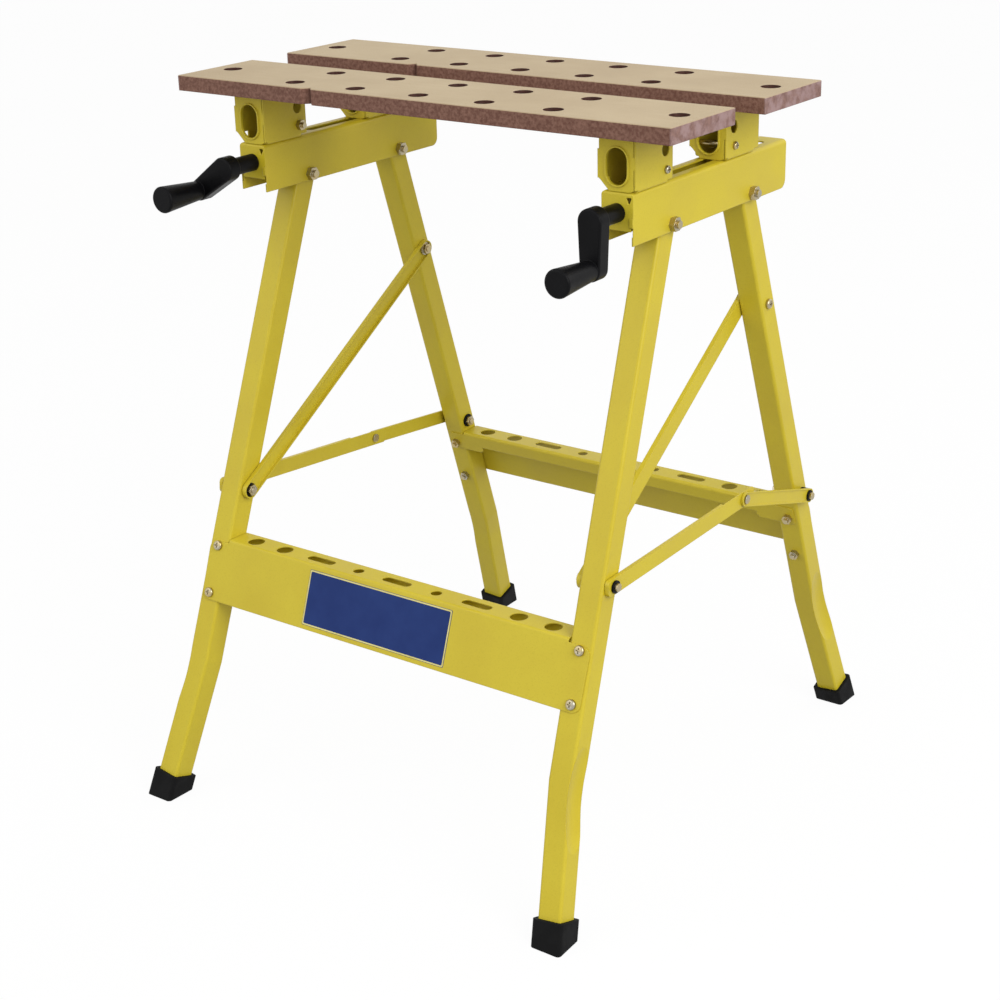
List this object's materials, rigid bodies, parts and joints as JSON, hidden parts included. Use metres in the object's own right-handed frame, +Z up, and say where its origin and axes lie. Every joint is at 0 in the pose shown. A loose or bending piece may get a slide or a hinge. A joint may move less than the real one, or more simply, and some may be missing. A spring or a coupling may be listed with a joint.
{
  "type": "folding workbench",
  "caption": "Folding workbench with drilled jaw boards on slotted rails, hand cranks that drive the jaws, splayed tube legs with braces and folding stays, and holed tool trays.",
  "frame": {"origin": "on the floor, under the middle of the overall outline", "axes": "+X along the jaw boards to the right of a user at the cranks, +Y away from that user, +Z up"},
  "size_m": [0.605, 0.6584, 0.78],
  "materials": {
    "yellow_paint": "satin",
    "board_wood": "sealed fibreboard",
    "black_plastic": "moulded",
    "rubber": "matt",
    "zinc_steel": "zinc plated"
  },
  "bodies": {
    "top": {"front_jaw_board": "board_wood", "right_rail": "yellow_paint", "left_rail": "yellow_paint", "left_front_bracket": "yellow_paint", "right_front_bracket": "yellow_paint", "front_board_screws": "zinc_steel", "front_bracket_bolts": "zinc_steel", "leg_pivot_bolts": "zinc_steel", "pivot_spacers": "black_plastic", "right_screw_bush": "black_plastic", "left_screw_bush": "black_plastic", "front_holding_screws": "zinc_steel"},
    "rear_jaw": {"rear_jaw_board": "board_wood", "left_rear_bracket": "yellow_paint", "right_rear_bracket": "yellow_paint", "rear_board_screws": "zinc_steel", "rear_bracket_bolts": "zinc_steel", "jaw_nut_screws": "zinc_steel", "right_jaw_nut": "zinc_steel", "left_jaw_nut": "zinc_steel"},
    "right_crank": {"right_lead_screw": "zinc_steel", "right_thrust_collar": "zinc_steel", "right_crank_handle": "black_plastic", "right_crank_pin": "zinc_steel"},
    "left_crank": {"left_lead_screw": "zinc_steel", "left_thrust_collar": "zinc_steel", "left_crank_handle": "black_plastic", "left_crank_pin": "zinc_steel"},
    "front_legs": {"right_front_leg": "yellow_paint", "left_front_leg": "yellow_paint", "right_front_foot": "rubber", "left_front_foot": "rubber", "front_tray": "yellow_paint", "front_tray_bolts": "zinc_steel", "lower_brace_bolts": "zinc_steel", "lower_brace_washers": "black_plastic"},
    "rear_legs": {"right_rear_leg": "yellow_paint", "left_rear_leg": "yellow_paint", "right_rear_foot": "rubber", "left_rear_foot": "rubber", "rear_tray": "yellow_paint", "rear_tray_bolts": "zinc_steel", "upper_brace_bolts": "zinc_steel", "rear_stay_bolts": "zinc_steel", "rear_stay_washers": "black_plastic"},
    "right_diagonal": {"right_brace": "yellow_paint", "right_brace_stud": "zinc_steel"},
    "left_diagonal": {"left_brace": "yellow_paint", "left_brace_stud": "zinc_steel"},
    "right_stay": {"right_stay_arm": "yellow_paint", "right_knuckle_tail": "zinc_steel"},
    "left_stay": {"left_stay_arm": "yellow_paint", "left_knuckle_tail": "zinc_steel"},
    "right_link": {"right_stay_link": "yellow_paint", "right_knuckle_head": "zinc_steel"},
    "left_link": {"left_stay_link": "yellow_paint", "left_knuckle_head": "zinc_steel"}
  },
  "joints": [
    {"name": "crank_turn", "type": "hinge", "parent": "top", "child": "right_crank", "pos_m": [0.229, -0.14027, 0.6905], "axis": [0, 1, 0], "range_deg": [-4320, 5040]},
    {"name": "left_crank_turn", "type": "hinge", "parent": "top", "child": "left_crank", "pos_m": [-0.229, -0.14027, 0.6905], "axis": [0, 1, 0], "range_deg": [-4321, 5041]},
    {"name": "jaw_slide", "type": "slide", "parent": "top", "child": "rear_jaw", "axis": [0, 1, 0], "range_m": [-0.0561, 0.0481]},
    {"name": "front_leg_fold", "type": "hinge", "parent": "top", "child": "front_legs", "pos_m": [0, -0.07027, 0.6675], "axis": [-1, 0, 0], "range_deg": [0, 44]},
    {"name": "rear_leg_fold", "type": "hinge", "parent": "top", "child": "rear_legs", "pos_m": [0, 0.08373, 0.6675], "axis": [-1, 0, 0], "range_deg": [0, 66.33]},
    {"name": "right_diagonal_turn", "type": "hinge", "parent": "front_legs", "child": "right_diagonal", "pos_m": [0, -0.1895, 0.33631], "axis": [-1, 0, 0], "range_deg": [-21.09, 0]},
    {"name": "right_stay_turn", "type": "hinge", "parent": "front_legs", "child": "right_stay", "pos_m": [0, -0.1895, 0.33631], "axis": [-1, 0, 0], "range_deg": [-48.58, 0]},
    {"name": "right_link_turn", "type": "hinge", "parent": "rear_legs", "child": "right_link", "pos_m": [0, 0.20895, 0.2992], "axis": [-1, 0, 0], "range_deg": [0, 34.43]},
    {"name": "left_diagonal_turn", "type": "hinge", "parent": "front_legs", "child": "left_diagonal", "pos_m": [0, -0.1895, 0.33631], "axis": [-1, 0, 0], "range_deg": [-21.09, 0]},
    {"name": "left_stay_turn", "type": "hinge", "parent": "front_legs", "child": "left_stay", "pos_m": [0, -0.1895, 0.33631], "axis": [-1, 0, 0], "range_deg": [-53.85, 0]},
    {"name": "left_link_turn", "type": "hinge", "parent": "rear_legs", "child": "left_link", "pos_m": [0, 0.20895, 0.2992], "axis": [-1, 0, 0], "range_deg": [0, 46.72]}
  ],
  "couplings": [
    {"joint": "left_crank_turn", "follows": "crank_turn", "ratio": 1},
    {"joint": "jaw_slide", "follows": "crank_turn", "m_per_rad": -0.00063662},
    {"joint": "rear_leg_fold", "follows": "front_leg_fold", "ratio": 1.5074},
    {"joint": "right_diagonal_turn", "follows": "front_leg_fold", "ratio": -0.47902},
    {"joint": "right_stay_turn", "follows": "front_leg_fold", "ratio": -1.1039},
    {"joint": "right_link_turn", "follows": "front_leg_fold", "ratio": 0.78231},
    {"joint": "left_diagonal_turn", "follows": "front_leg_fold", "ratio": -0.47902},
    {"joint": "left_stay_turn", "follows": "front_leg_fold", "ratio": -1.2236},
    {"joint": "left_link_turn", "follows": "front_leg_fold", "ratio": 1.0617}
  ]
}
